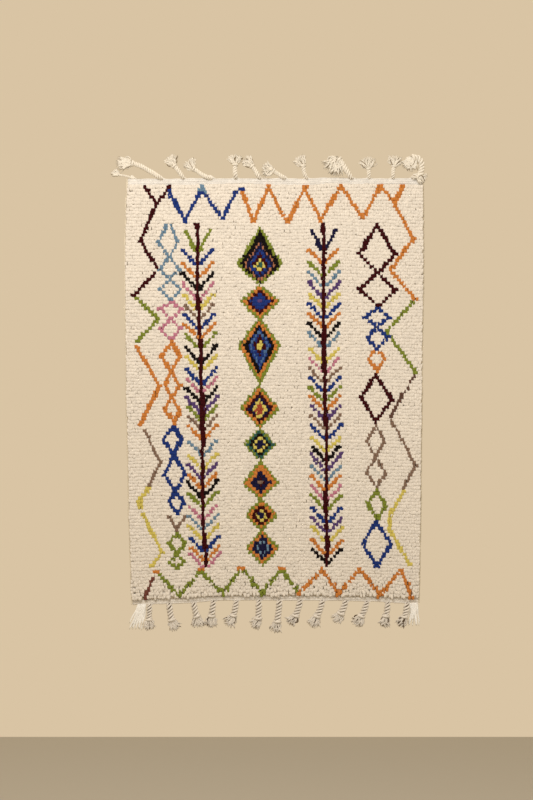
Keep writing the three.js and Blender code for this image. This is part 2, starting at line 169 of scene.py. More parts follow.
# Motifs on the knot grid. Columns count from the left and rows from the top, both from 0 at the
# middle of the first knot, and halves stand for one lock of a knot.
BORDER_LINES = (
    ("maroon", (4.5, 0), (8.3, 5), (11.7, 0.5)),
    ("maroon", (8.3, 5), (3.8, 16.7), (9, 26), (1.7, 34)),
    ("green", (2.6, 35), (9, 41.3), (2.3, 48.4)),
    ("orange", (2.7, 50.3), (9.2, 62), (3.1, 74.4)),
    ("taupe", (4.5, 76), (9, 86.3), (5.3, 93.4)),
    ("yellow", (5.2, 94.5), (2.2, 97.5), (2.4, 100.2)),
    ("yellow", (3, 98), (3.1, 100.5)),
    ("yellow", (3.5, 102), (8.8, 113.7), (5.7, 118.2)),
    ("russet", (6.2, 121.5), (3.3, 128)),
    ("taupe", (11.3, 103), (13.6, 106.7), (16, 103)),
    ("blue", (11.7, 1.2), (16.8, 10.8), (21, 1.5)),
    ("blue", (22, 2), (27.8, 10.3), (31.3, 2), (33, 1)),
    ("steel", (20.8, 1), (21.6, 0), (22.6, 2)),
    ("orange", (33.4, 1.5), (36.8, 11.2), (41, 0.4), (46.7, 11.2), (51.8, 0.5), (56.6, 10.6)),
    ("orange", (56.6, 10.6), (62.5, 0), (68.9, 10.2), (74.2, 0), (78.1, 5.2), (80.7, 0)),
    ("orange", (78.1, 5.2), (83.7, 16.3), (77, 26), (84.5, 35.2)),
    ("green", (83.5, 36.3), (76, 45.3), (85, 58.2)),
    ("brown", (84.2, 59.2), (77.6, 71.9)),
    ("taupe", (77.7, 73.2), (85, 86.8), (81.4, 93.9)),
    ("yellow", (81.5, 95.1), (77.4, 102.7), (77.3, 107.3), (83.7, 118)),
    ("green", (8, 121), (13.8, 128), (20.4, 120.3), (26.9, 127.8), (32.8, 119.8), (39, 127.8)),
    ("green", (39, 127.8), (44.9, 120.2), (49.6, 127)),
    ("orange", (50.2, 127.8), (57.1, 120.3), (62.2, 128), (68.5, 120.1), (74.8, 127.8)),
    ("orange", (74.8, 127.8), (81.1, 119.7), (84.1, 127.7)),
    ("orange", (6.5, 120), (7.4, 120)),
    ("orange", (20, 120), (20.8, 120)),
    ("orange", (32.3, 119.5), (33.3, 119.5)),
    ("orange", (44.5, 120), (45.3, 120)),
)

# Lozenge chains: yarn, top, left and right corners and bottom, each as column and row. A top
# that stands open has its two arms this far apart.
OPEN_TOP = 1.6
LOZENGES = (
    ("steel", (11.9, 12.3), (9.2, 17.3), (14.6, 17.1), (12.2, 22.3), OPEN_TOP),
    ("steel", (12.2, 22.3), (9.3, 25.7), (15.3, 25.7), (12.4, 28.8), 0),
    ("steel", (12.4, 28.8), (9.7, 32), (15.7, 32.2), (12.8, 35.2), 0),
    ("pink", (13, 36), (9.6, 38), (16.1, 38.1), (12.7, 41.2), 0),
    ("pink", (12.7, 41.2), (9.5, 44.4), (15.3, 44.2), (12.9, 47.6), 0),
    ("orange", (12.9, 48.5), (9.7, 52.6), (15.2, 52.9), (12.7, 57.5), 0),
    ("orange", (12.7, 57.5), (10.9, 61.8), (15.2, 62), (12.8, 65.6), 0),
    ("orange", (12.8, 65.6), (10.7, 69.4), (15.1, 70), (13.5, 74), 0),
    ("blue", (13.2, 74.8), (9.9, 78.8), (15.2, 78.9), (13, 83.6), 0),
    ("blue", (13, 83.6), (10.1, 89.7), (16.3, 89.8), (13.2, 95), 0),
    ("blue", (13.2, 95), (11.5, 98.3), (16, 98.6), (13.9, 102), 0),
    ("green", (13.4, 108), (11.3, 111.3), (16, 111.3), (13.4, 114.8), 0),
    ("green", (13.4, 114.8), (11, 117), (15.3, 116.9), (13.3, 118.8), 0),
    ("maroon", (73, 12), (67.9, 21.4), (78.3, 21.1), (73.4, 26.9), 0),
    ("maroon", (73.4, 26.9), (67.9, 32.2), (78.6, 32.4), (73.5, 37.4), 0),
    ("blue", (73.3, 38.3), (69.8, 40.6), (76.7, 40.8), (73.2, 43.8), 0),
    ("blue", (73.2, 43.8), (70.4, 47.4), (76.7, 47.4), (73.2, 50.8), 0),
    ("orange", (73.2, 51.8), (70.9, 53.9), (75.5, 53.8), (73.4, 58), OPEN_TOP),
    ("maroon", (72.9, 59), (68.8, 66.5), (77.8, 66.7), (73, 73.8), 0),
    ("taupe", (73.2, 75), (70.5, 79.6), (75.8, 79.4), (73.1, 84.8), 0),
    ("taupe", (73.1, 84.8), (70.4, 89.6), (76.2, 89.7), (73.4, 94), 0),
    ("green", (73.4, 95.2), (70.8, 99.3), (76.3, 99.8), (73.7, 104), 0),
    ("blue", (73.3, 105), (69.4, 112.1), (78, 111.8), (73.8, 119), 0),
)

# Fishbones: the stem's points, then the row where each pair of branches leaves it
LEFT_STEM = ((20.3, 12), (20.7, 35.6), (21.6, 57.5), (21.8, 76), (21.4, 94.4), (21.7, 110), (22, 119))
LEFT_BRANCHES = (
    (20.3, "green"), (24.2, "blue"), (28.3, "orange"), (31.5, "black"), (34.8, "pink"),
    (38, "yellow"), (41, "taupe"), (44.2, "blue"), (47.2, "orange"), (50.4, "green"),
    (54.7, "black"), (57.4, "yellow"), (61.5, "blue"), (64.4, "pink"), (67.5, "black"),
    (70.6, "purple"), (73, "green"), (76, "taupe"), (79, "orange"), (83.8, "steel"),
    (88, "yellow"), (91, "purple"), (94, "orange"), (96.8, "black"), (100, "green"),
    (103.8, "pink"), (107, "steel"), (110.4, "yellow"), (114, "blue"), (117, "orange"),
    (119.4, "pink"),
)
RIGHT_STEM = ((57.3, 12), (57.6, 35.7), (57.8, 57.7), (58.4, 77.4), (58.3, 102), (58.8, 112), (58.6, 119))
RIGHT_BRANCHES = (
    (20.2, "navy"), (24, "orange"), (28, "green"), (31.4, "steel"), (34.8, "purple"),
    (38, "yellow"), (41.3, "blue"), (44.2, "orange"), (47.4, "black"), (50.5, "steel"),
    (55, "yellow"), (58.1, "pink"), (61.4, "taupe"), (64.2, "blue"), (67.3, "green"),
    (70.2, "orange"), (73, "purple"), (76.2, "taupe"), (79.4, "blue"), (83, "yellow"),
    (85.8, "black"), (88.8, "purple"), (92, "steel"), (95, "orange"), (98.3, "pink"),
    (101.3, "green"), (105.2, "blue"), (108.4, "purple"), (111.4, "yellow"), (115.4, "orange"),
    (118, "black"),
)
BRANCH_START = 0.6
BRANCH_REACH = 4.4
BRANCH_RISE = 4.3
FIRST_BRANCH = (3.4, 6.2)

# Centre column: middle column, top, widest and bottom rows, half width, and the rings from the
# outside in, each with its width in knots. A form's first and last rows are as wide as if it
# began this many rows sooner, and a lock counts as inside it from this depth on, in knots.
ROWS_SOONER = 0.9
LEAST_DEPTH = 0.2
MEDALLIONS = (
    (38.8, 12.8, 24.5, 30.6, 7.1, (("green", 1.1), ("black", 4))),
    (38.8, 17.6, 24.6, 29.2, 4.8, (("tan", 0.7), ("navy", 0.8), ("blue", 0.8), ("maroon", 3))),
    (38.8, 23.4, 24.6, 26.2, 2.1, (("yellow", 1), ("teal", 1))),
    (38.8, 31.4, 36, 41.6, 6.1, (
        ("green", 1.1), ("orange", 1), ("maroon", 1), ("blue", 2.1), ("purple", 1))),
    (38.7, 41.6, 50.2, 61.8, 6.6, (("green", 1.1), ("orange", 0.9), ("black", 3))),
    (38.7, 45, 50.2, 56.8, 3.6, (("blue", 0.6), ("sky", 0.6), ("blue", 0.8), ("sky", 0.6), ("blue", 2))),
    (38.8, 47.4, 50.3, 52.9, 2.1, (("maroon", 1.1), ("yellow", 1.2))),
    (38.7, 63, 69.7, 75.3, 6.3, (
        ("green", 1.1), ("orange", 0.9), ("maroon", 0.9), ("navy", 4))),
    (38.7, 67.2, 69.8, 72.3, 2.5, (("yellow", 1), ("red", 2))),
    (38.7, 76.5, 80.9, 85.7, 5.1, (
        ("green", 0.8), ("teal", 0.9), ("black", 0.9), ("yellow", 0.8), ("navy", 2))),
    (38.8, 86.6, 93, 98.1, 5.7, (
        ("green", 1.1), ("orange", 1.6), ("navy", 2), ("maroon", 1))),
    (38.8, 92.6, 93, 93.4, 0.9, (("taupe", 1),)),
    (39, 98.7, 103.4, 107.9, 5.2, (
        ("green", 1), ("orange", 0.9), ("maroon", 1.3), ("yellow", 0.7), ("navy", 1))),
    (39.2, 108.5, 113.7, 118.8, 5.4, (
        ("green", 1), ("orange", 0.9), ("navy", 1.3), ("steel", 0.5), ("navy", 3))),
)

# Top tassels: the points a cord passes, as (across, up), its size, the length of the loose mop
# past it, and the way the mop points and how far it fans, in degrees
TOP_TASSELS = (
    (((-489, -3), (-507, 6), (-542, 13)), 0.5, 24, 150, 60),
    (((-388, -3), (-425, 20), (-467, 43), (-496, 52)), 1.05, 50, 182, 44),
    (((-314, -3), (-331, 22), (-350, 47)), 1.0, 34, 114, 80),
    (((-216, -3), (-246, 9), (-272, 26), (-284, 36)), 0.95, 32, 128, 84),
    (((-135, -3), (-138, 24), (-137, 52)), 1.05, 30, 95, 90),
    (((-52, -3), (-66, 22), (-82, 46)), 1.0, 34, 138, 70),
    (((36, -3), (20, 8), (-10, 27)), 0.95, 36, 172, 76),
    (((110, -3), (100, 20), (97, 48)), 0.95, 34, 125, 70),
    (((265, -3), (246, 26), (232, 50), (217, 68)), 1.15, 60, 246, 84),
    (((324, -3), (323, 18), (322, 38)), 0.9, 36, 95, 96),
    (((406, -3), (407, 22), (411, 46)), 0.95, 32, 75, 96),
    (((494, -3), (504, 24), (504, 52), (490, 70), (472, 68)), 1.3, 44, 250, 66),
    (((472, -3), (484, 8), (498, 6)), 1.1, 26, 320, 90),
)
# Bottom tassels: root and end across, how far down the cord ends, its size, and its mop likewise
BOTTOM_TASSELS = (
    (-432, -434, 1526, 1.15, 32, 275, 50),
    (-365, -355, 1526, 1.3, 35, 300, 50),
    (-281, -268, 1514, 1.3, 35, 275, 66),
    (-212, -219, 1513, 1.3, 35, 265, 56),
    (-132, -145, 1512, 1.25, 36, 232, 50),
    (-55, -58, 1522, 1.3, 33, 236, 52),
    (16, 7, 1532, 1.3, 35, 250, 52),
    (88, 69, 1512, 1.3, 34, 225, 48),
    (165, 142, 1514, 1.3, 36, 248, 58),
    (245, 224, 1504, 1.35, 32, 230, 48),
    (318, 295, 1514, 1.25, 34, 236, 54),
    (389, 381, 1514, 1.25, 33, 255, 50),
    (456, 444, 1517, 1.25, 32, 238, 52),
)
# Corner brushes of loose warp ends: root and foot across, lowest point, width at the foot. The
# places are in y.
CORNER_BRUSHES = (
    (-458, -481, 1560, 46),
    (479, 474, 1546, 48),
)
BRUSH_STRANDS = 18
BRUSH_LOCKS = 4
BRUSH_GATHER = 0.6
BRUSH_SCATTER = 0.03
BRUSH_ROOT_WIDTH = 20
BRUSH_ROOT_INSET = 6
BRUSH_ROOT_PLACES = (-4.5, -2.6)
BRUSH_TIP_PLACES = (-10, -3)
BRUSH_NEAREST_WALL = -2.7
BRUSH_UNEVEN = 26
BRUSH_RADII = (3.6, 2.2)
BRUSH_POINTS = 12
BRUSH_BOW = 2.4
BRUSH_BOW_INTO = 0.25
BRUSH_WAVE = 0.9
BRUSH_WAVE_TURN = 11
BRUSH_WAVE_PHASES = (0, 6)
BRUSH_SIDES = 6

# Threads that gather into a tassel's root. Stations: rise from the band's edge, place in y, half
# of the threads' spread, and share of the way across to the cord's next point.
ROOT_THREADS = 10
ROOT_THREAD_RADIUS = 1.1
ROOT_THREAD_POINTS = 6
ROOT_THREAD_SIDES = 5
ROOT_STATIONS = ((0, -3.4, 17, 0), (2, -4.6, 4.5, 0), (14, -5.4, 2.2, 0.3))
ROOT_THREAD_INSET = 2
CORD_INSET = 3
BOTTOM_CORD_BOW = 0.42

# Cords of the tassels. The waist and the core are shares of the cord's radius.
TASSEL_RADIUS = 9.2
TASSEL_PITCH = 25
TASSEL_STEP = 2.6
CORE_RADIUS = 0.6
CORD_SIDES = 8
CORD_WAIST = 0.6
CORD_WAIST_LENGTH = 14
CORD_UNEVEN = 0.04
CORD_UNEVEN_RUN = 7
CORD_WALL_GAP = 0.6

# Knots of the tassels. Radii are shares of the cord's radius.
KNOT_FROM_END = 7
KNOT_TURNS = 1.6
KNOT_POINTS = 26
KNOT_SHIFT = 3.6
KNOT_RADIUS = 0.9
KNOT_YARN_RADIUS = 0.38
KNOT_SIDES = 7
KNOT_NEAREST_WALL = -3.2

# Mops of the tassels. Root width and depth are shares of the cord's radius, reaches and curls
# are shares of the mop's length, and the places are in y.
MOP_POINTS = 7
MOP_SIDES = 4
MOP_RADII = (1.6, 2.7)
MOP_TAPER = 0.8
MOP_INSET = 5
MOP_ROOT_WIDTH = 0.6
MOP_ROOT_DEPTH = 0.55
MOP_DEPTH_FAN = 0.16
MOP_MIDDLE_REACH = 1.04
MOP_SIDE_LOSS = 0.24
MOP_REACHES = (0.5, 1.1)
MOP_REACH_POWER = 0.6
MOP_CURL = 0.14
MOP_CURL_INTO = 0.06
MOP_CURL_TURNS = 0.75
MOP_PLACES = (-19, -1.6)

# Yarn of the tassels: plies, mop strands for each millimetre of the mop's length, the share of
#  them in dark yarn painted as the shade inside the mop, and how far a ply lies from the cord's
#  middle and its radius, both as shares of the cord's radius
TOP_YARN = (3, 2.9, 0.04, 0.6, 0.36)
BOTTOM_YARN = (3, 2.2, 0.07, 0.7, 0.31)
TOP_TASSEL_SEED = 1
BOTTOM_TASSEL_SEED = 31
BRUSH_SEED = 61

# Side cords, wrapped all along. The pile's end beside them is read this far across.
SIDE_CORD_ACROSS = 500
SIDE_CORD_RADIUS = 3.0
SIDE_CORD_SIDES = 7
SIDE_CORD_GAP = 0.7
SIDE_CORD_WALL_GAP = 0.5
SIDE_CORD_INSET = 2
SIDE_CORD_WAVES = ((0.35, 19, 0), (0.25, 7.3, 0))
WRAP_PITCH = 3.4
WRAP_STEPS = 3
WRAP_HOLLOW = 0.25
WRAP_RIDGE = 0.55
WRAP_TILT = 0.12

# The photo's frame
IMAGE_WIDTH = 533
IMAGE_HEIGHT = 800
MM_PER_PIXEL = 3.45
RUG_MIDDLE_PIXEL = 275
TOP_EDGE_PIXEL = 178.5
FLOOR_LINE_PIXEL = 738
CAMERA_DISTANCE = 6000
SENSOR_WIDTH = 36

# Studio. Floor and lights are in metres, and colours run from 0 to 255.
FLOOR_NEAR = -5.0
FLOOR_FAR = 0.02
FLOOR_HALF_WIDTH = 3.0
FLOOR_COLOUR = (166, 160, 147)
FLOOR_ROUGHNESS = 0.8
BACKDROP_COLOUR = (217, 196, 164)
# Lights: name, place, target, size, watts, and colour as shares
LIGHTS = (
    ("key", (-0.9, -2.6, 1.3), (0, 0, -0.5), 1.2, 61, (1.0, 0.98, 0.96)),
    ("fill", (1.6, -3.2, -0.6), (0, 0, -0.8), 2.0, 20, (0.86, 0.93, 1.0)),
)


def read_table(table, key, at, column):
    """The column's value where the key is at, easing between the table's rows."""
    keys = table[key]
    values = table[column]
    at = np.clip(np.asarray(at, float), keys[0], keys[-1])
    step = np.clip(np.searchsorted(keys, at, side="right") - 1, 0, len(keys) - 2)
    part = (at - keys[step]) / (keys[step + 1] - keys[step])
    return values[step] + (values[step + 1] - values[step]) * part * part * (3 - 2 * part)


def left_edge(down):
    return read_table(SIDE_EDGES, "down", down, "left")


def right_edge(down):
    return read_table(SIDE_EDGES, "down", down, "right")


def pile_end(across):
    return read_table(END_EDGES, "across", across, "pile_end")


def pile_place(u, v):
    """Across and down of the place a share u across the pile and v down it."""
    rough_down = PILE_TOP + v * (pile_end(0) - PILE_TOP)
    across = left_edge(rough_down) + u * (right_edge(rough_down) - left_edge(rough_down))
    top = PILE_TOP + read_table(END_EDGES, "across", across, "top")
    return across, top + v * (pile_end(across) - top)


def waves(at, table, turn=1):
    """Sum of sine waves along a length. Each row's phase is multiplied by turn."""
    return sum(height * np.sin(at / run + phase * turn) for height, run, phase in table)


def lumps(across, down):
    """Slow rise and fall of the pile's height. The added angles only shift the waves."""
    swell = np.sin(across / SWELL_ACROSS + 1.3) * np.cos(down / SWELL_DOWN - 0.4)
    slant = np.sin(across / SLANT_ACROSS - down / SLANT_DOWN + 2.1)
    return SWELL_HEIGHT * swell + SLANT_HEIGHT * slant


def add_piece(name, points, faces, material, slot, nodes):
    """A mesh piece from points in millimetres and arrays of faces, riding on the rug."""
    mesh = bpy.data.meshes.new(name)
    corners = np.concatenate([part.ravel() for part in faces]).astype(np.int32)
    sizes = np.concatenate([np.full(len(part), part.shape[1]) for part in faces])
    starts = np.concatenate([[0], np.cumsum(sizes)[:-1]]).astype(np.int32)
    mesh.vertices.add(len(points))
    mesh.vertices.foreach_set("co", (points * MM).astype(np.float32).ravel())
    mesh.loops.add(len(corners))
    mesh.loops.foreach_set("vertex_index", corners)
    mesh.polygons.add(len(sizes))
    mesh.polygons.foreach_set("loop_start", starts)
    mesh.update(calc_edges=True)
    mesh.validate()
    mesh.shade_smooth()
    mesh.materials.append(material)
    piece = bpy.data.objects.new(name, mesh)
    bpy.context.collection.objects.link(piece)
    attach(piece, "root")
    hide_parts(*nodes)
    return piece


def unit(vectors):
    return vectors / np.linalg.norm(vectors, axis=-1, keepdims=True)


def close_skins(skins, starts, ends):
    """Points and faces of many closed skins: rings of points from a starting to an end point."""
    count, rings, sides = skins.shape[:3]
    points = np.concatenate([skins.reshape(count, rings * sides, 3), starts[:, None], ends[:, None]], axis=1)
    side = np.arange(sides)
    follow = (side + 1) % sides
    base = np.arange(rings - 1)[:, None] * sides
    quads = np.stack([base + side, base + follow, base + follow + sides, base + side + sides], axis=-1)
    first = np.full(sides, rings * sides)
    last = (rings - 1) * sides
    fans = np.concatenate([
        np.stack([first, follow, side], axis=-1),
        np.stack([first + 1, last + side, last + follow], axis=-1),
    ])
    offsets = (np.arange(count) * points.shape[1])[:, None, None]
    return points.reshape(-1, 3), [(quads.reshape(1, -1, 4) + offsets).reshape(-1, 4),
                                   (fans[None] + offsets).reshape(-1, 3)]


def tubes(paths, radii, sides, reference):
    """Closed tubes along many paths at once. Each path's ends are single points, and its other
    points carry a ring. radii holds a radius for each ring, or for each corner of each ring."""
    paths = np.asarray(paths, float)
    count, steps = paths.shape[:2]
    ahead = unit(paths[:, 2:] - paths[:, :-2])
    sideways = unit(np.cross(np.asarray(reference, float), ahead))
    outward = np.cross(ahead, sideways)
    radii = np.asarray(radii, float)
    if radii.ndim < 3:
        radii = np.broadcast_to(radii, (count, steps - 2))[..., None]
    angles = (np.arange(sides) * 2 * math.pi / sides)[:, None]
    swing = np.cos(angles) * sideways[:, :, None] + np.sin(angles) * outward[:, :, None]
    return close_skins(paths[:, 1:-1, None] + radii[..., None] * swing, paths[:, 0], paths[:, -1])


def join(parts):
    """One set of points and faces from several."""
    points = np.concatenate([part[0] for part in parts])
    faces = []
    offset = 0
    for part_points, part_faces in parts:
        faces += [face + offset for face in part_faces]
        offset += len(part_points)
    return points, faces


# The chart: the yarn of each lock

def mark(chart, yarn, row, low, high):
    """Give a yarn to the locks of a row between two columns."""
    first = math.ceil((low + 0.5) * LOCKS_PER_KNOT - 0.5)
    last = math.floor((high + 0.5) * LOCKS_PER_KNOT - 0.5)
    chart[min(max(row, 0), ROWS - 1), max(first, 0):last + 1] = yarn


def draw_line(chart, yarn, *turns, width=LINE_WIDTH):
    """A line through the turning points, about one knot wide or a little less."""
    if yarn in THIN_YARNS:
        width = THIN_WIDTH
    for (column, row), (to_column, to_row) in zip(turns, turns[1:]):
        if row > to_row:
            column, row, to_column, to_row = to_column, to_row, column, row
        slant = (to_column - column) / max(to_row - row, 1)
        half = max(width + SLANT_WIDENS * min(abs(slant), 1), abs(slant)) / 2
        for at_row in range(round(row), round(to_row) + 1):
            at = column + slant * min(max(at_row - row, 0), to_row - row)
            mark(chart, yarn, at_row, at - half, at + half)
        if to_row - row < 1:
            mark(chart, yarn, round(row), min(column, to_column) - half, max(column, to_column) + half)


def draw_lozenge(chart, yarn, top, left, right, bottom, opening):
    draw_line(chart, yarn, (top[0] - opening / 2, top[1]), left, bottom)
    draw_line(chart, yarn, (top[0] + opening / 2, top[1]), right, bottom)


def draw_fishbone(chart, stem, branches):
    stem_rows = [row for _, row in stem]
    stem_columns = [column for column, _ in stem]
    for index, (row, yarn) in enumerate(branches):
        column = float(np.interp(row, stem_rows, stem_columns))
        reach, rise = FIRST_BRANCH if index == 0 else (BRANCH_REACH, BRANCH_RISE)
        for side in (-1, 1):
            start = column + side * BRANCH_START, row
            draw_line(chart, yarn, start, (column + side * reach, row - rise))
    draw_line(chart, "maroon", *stem, width=STEM_WIDTH)


def draw_medallion(chart, middle, top, widest, bottom, half_width, rings):
    inner_edges = np.cumsum([width for _, width in rings])
    lock_columns = (np.arange(LOCK_COLUMNS) + 0.5) / LOCKS_PER_KNOT - 0.5
    for row in range(round(top), round(bottom) + 1):
        run = widest - top if row <= widest else bottom - widest
        rows_in = row - top if row <= widest else bottom - row
        reach = half_width * (rows_in + ROWS_SOONER) / (run + ROWS_SOONER)
        depth = reach - abs(lock_columns - middle)
        for lock in np.flatnonzero(depth > LEAST_DEPTH):
            ring = min(int(np.searchsorted(inner_edges, depth[lock])), len(rings) - 1)
            chart[row, lock] = rings[ring][0]


def lock_chart():
    chart = np.full((ROWS, LOCK_COLUMNS), "cream", dtype="U10")
    for yarn, *turns in BORDER_LINES:
        draw_line(chart, yarn, *turns)
    for lozenge in LOZENGES:
        draw_lozenge(chart, *lozenge)
    draw_fishbone(chart, LEFT_STEM, LEFT_BRANCHES)
    draw_fishbone(chart, RIGHT_STEM, RIGHT_BRANCHES)
    for medallion in MEDALLIONS:
        draw_medallion(chart, *medallion)
    return chart


# Materials

def linear(colour):
    """Blender's linear colour for a colour given from 0 to 255."""
    shares = np.array(colour) / 255
    return tuple(np.where(shares <= 0.04045, shares / 12.92, ((shares + 0.055) / 1.055) ** 2.4))


def wool(name, colour, clump=95.0, fibre=(900, 900, 2600), root_shade=0.2, darkest=0.87):
    """Wool yarn: uneven dye, fine fibres, and painted shade that darkens it towards the roots of the
    pile, where the pile shades itself. Clump and fibre are the scales of the two textures, the next
    argument is how far the painted shade darkens the roots, and darkest is the dark end of the dye."""
    lightest = 1.06
    root_shade_tone = 0.55
    pile_face_y = -0.0135
    pile_root_y = -0.006
    material = bpy.data.materials.new(name)
    material.use_nodes = True
    nodes = material.node_tree.nodes
    links = material.node_tree.links
    shader = nodes["Principled BSDF"]
    base = linear(colour)
    shader.inputs["Base Color"].default_value = (*base, 1)
    shader.inputs["Roughness"].default_value = 0.95
    shader.inputs["Specular IOR Level"].default_value = 0.1
    shader.inputs["Sheen Weight"].default_value = 0.05
    shader.inputs["Sheen Roughness"].default_value = 0.45
    shader.inputs["Sheen Tint"].default_value = (*base, 1)
    place = nodes.new("ShaderNodeTexCoord")

    dye = nodes.new("ShaderNodeTexNoise")
    dye.inputs["Scale"].default_value = clump
    dye.inputs["Detail"].default_value = 3
    dye.inputs["Roughness"].default_value = 0.6
    links.new(place.outputs["Object"], dye.inputs["Vector"])
    tone = nodes.new("ShaderNodeValToRGB")
    tone.color_ramp.elements[0].position = 0.3
    tone.color_ramp.elements[0].color = (*[share * darkest for share in base], 1)
    tone.color_ramp.elements[1].position = 0.7
    tone.color_ramp.elements[1].color = (*[min(1, share * lightest) for share in base], 1)
    links.new(dye.outputs["Fac"], tone.inputs["Fac"])

    split = nodes.new("ShaderNodeSeparateXYZ")
    links.new(place.outputs["Object"], split.inputs["Vector"])
    # Painted shade: the colour darkens from the pile's face towards its roots, standing in for the shade
    # deep in the pile
    depth = nodes.new("ShaderNodeMapRange")
    depth.inputs["From Min"].default_value = pile_face_y
    depth.inputs["From Max"].default_value = pile_root_y
    depth.inputs["To Min"].default_value = 0.0
    depth.inputs["To Max"].default_value = root_shade
    links.new(split.outputs["Y"], depth.inputs["Value"])
    shade = nodes.new("ShaderNodeMix")
    shade.data_type = "RGBA"
    shade.blend_type = "MIX"
    shade.inputs["B"].default_value = (*[share * root_shade_tone for share in base], 1)
    links.new(depth.outputs["Result"], shade.inputs["Factor"])
    links.new(tone.outputs["Color"], shade.inputs["A"])
    links.new(shade.outputs["Result"], shader.inputs["Base Color"])

    stretch = nodes.new("ShaderNodeMapping")
    stretch.inputs["Scale"].default_value = fibre
    links.new(place.outputs["Object"], stretch.inputs["Vector"])
    fibres = nodes.new("ShaderNodeTexNoise")
    fibres.inputs["Scale"].default_value = 1.0
    fibres.inputs["Detail"].default_value = 2
    links.new(stretch.outputs["Vector"], fibres.inputs["Vector"])
    bump = nodes.new("ShaderNodeBump")
    bump.inputs["Strength"].default_value = 0.55
    bump.inputs["Distance"].default_value = 0.0012
    links.new(fibres.outputs["Fac"], bump.inputs["Height"])
    links.new(bump.outputs["Normal"], shader.inputs["Normal"])
    return material


# The pile: every lock passes through the ground weave and is cut level at the face

def pile_locks(dyed):
    """The skin, root and tip of every lock, indexed by row and lock column."""
    row, lock = np.meshgrid(np.arange(ROWS), np.arange(LOCK_COLUMNS), indexing="ij")
    shape = row.shape
    across, down = pile_place((lock + 0.5) / LOCK_COLUMNS, (row + ROOT_SHARE) / ROWS)
    down = down + waves(across, ROW_WAVES, row)
    root_x = across + dice.normal(0, ROOT_SCATTER_ACROSS, shape)
    root_z = -down + dice.normal(0, ROOT_SCATTER_UP, shape)
    shaggy = 1 + SHAGGY_UNEVEN * np.clip((row - ROWS + SHAGGY_ROWS) / SHAGGY_ROWS, 0, 1)
    lean = LEAN + waves(across, LEAN_WAVES, row) + dice.normal(0, LEAN_UNEVEN, shape) * shaggy
    sway = dice.normal(0, 1, shape) * np.where(dyed, DYED_SWAY, SWAY) * shaggy
    height = PILE_HEIGHT + lumps(across, down) + DYED_RISE * dyed
    height = height + dice.normal(0, HEIGHT_UNEVEN, shape) * shaggy

    def place_at(rise):
        return np.stack([root_x + rise * sway, -rise, root_z - rise * lean], axis=-1)

    angles = (np.arange(LOCK_SIDES) + 0.5) * 2 * math.pi / LOCK_SIDES
    rings = []
    for below_tip, tall, wide in zip(*LOCK_RINGS.values()):
        uneven = 1 + dice.uniform(-LOCK_UNEVEN, LOCK_UNEVEN, (*shape, LOCK_SIDES))
        x = wide * np.sin(angles) * uneven
        z = -tall * np.cos(angles) * uneven
        centre = place_at(height - below_tip)[:, :, None]
        rings.append(centre + np.stack([x, np.zeros_like(x), z], axis=-1))
    return np.stack(rings, axis=2), place_at(np.full(shape, ROOT_HEIGHT)), place_at(height)


def build_pile(chart):
    skins, roots, tips = pile_locks(chart != "cream")
    materials = {yarn: wool(f"wool_{yarn}", colour) for yarn, colour in YARNS.items()}
    band_of_row = np.arange(ROWS) * CREAM_BANDS // ROWS
    pieces = []

    def add_locks(name, mask, yarn):
        points, faces = close_skins(skins[mask], roots[mask], tips[mask])
        slot = "pile_wool" if yarn == "cream" else "dyed_wool"
        pieces.append(add_piece(name, points, faces, materials[yarn], slot, ["pile_field"]))

    for yarn in YARNS:
        mask = chart == yarn
        if yarn == "cream":
            for band in range(CREAM_BANDS):
                add_locks(f"pile_cream_{band + 1}", mask & (band_of_row == band)[:, None], yarn)
        elif mask.any():
            add_locks(f"pile_{yarn}", mask, yarn)
    return pieces


# The ground weave behind the knots

def build_ground(material):
    lines = ROWS * WEFTS_PER_ROW
    u = np.arange(GROUND_COLUMNS + 1) / GROUND_COLUMNS
    v = np.arange(lines + 1) / lines
    across, down = pile_place(*np.meshgrid(u, v))
    column = np.arange(GROUND_COLUMNS + 1)[None]
    line = np.arange(lines + 1)[:, None]
    over = np.where((column + line) % 2, WEFT_RISE, -WEFT_RISE)
    groove = np.where(line % WEFTS_PER_ROW, 0, ROW_GROOVE)
    back = GROUND_BACK - groove + over
    front = GROUND_FRONT + over / 2
    sheet_back = np.stack([across, back, -down], axis=-1)
    sheet_front = np.stack([across, front, -down], axis=-1)
    points = np.concatenate([sheet_back.reshape(-1, 3), sheet_front.reshape(-1, 3)])
    wide = GROUND_COLUMNS + 1
    index = np.arange((lines + 1) * wide).reshape(lines + 1, wide)
    a, b, c, d = index[:-1, :-1], index[:-1, 1:], index[1:, 1:], index[1:, :-1]
    back_faces = np.stack([a, b, c, d], axis=-1).reshape(-1, 4)
    front_faces = np.stack([d, c, b, a], axis=-1).reshape(-1, 4) + index.size
    rim = np.concatenate([index[0, :-1], index[:-1, -1], index[-1, :0:-1], index[:0:-1, 0]])
    ahead = np.roll(rim, -1)
    walls = np.stack([ahead, rim, rim + index.size, ahead + index.size], axis=-1)
    return add_piece("ground_weave", points, [back_faces, front_faces, walls], material,
                     "pile_wool", ["pile_field"])


# Woven end bands

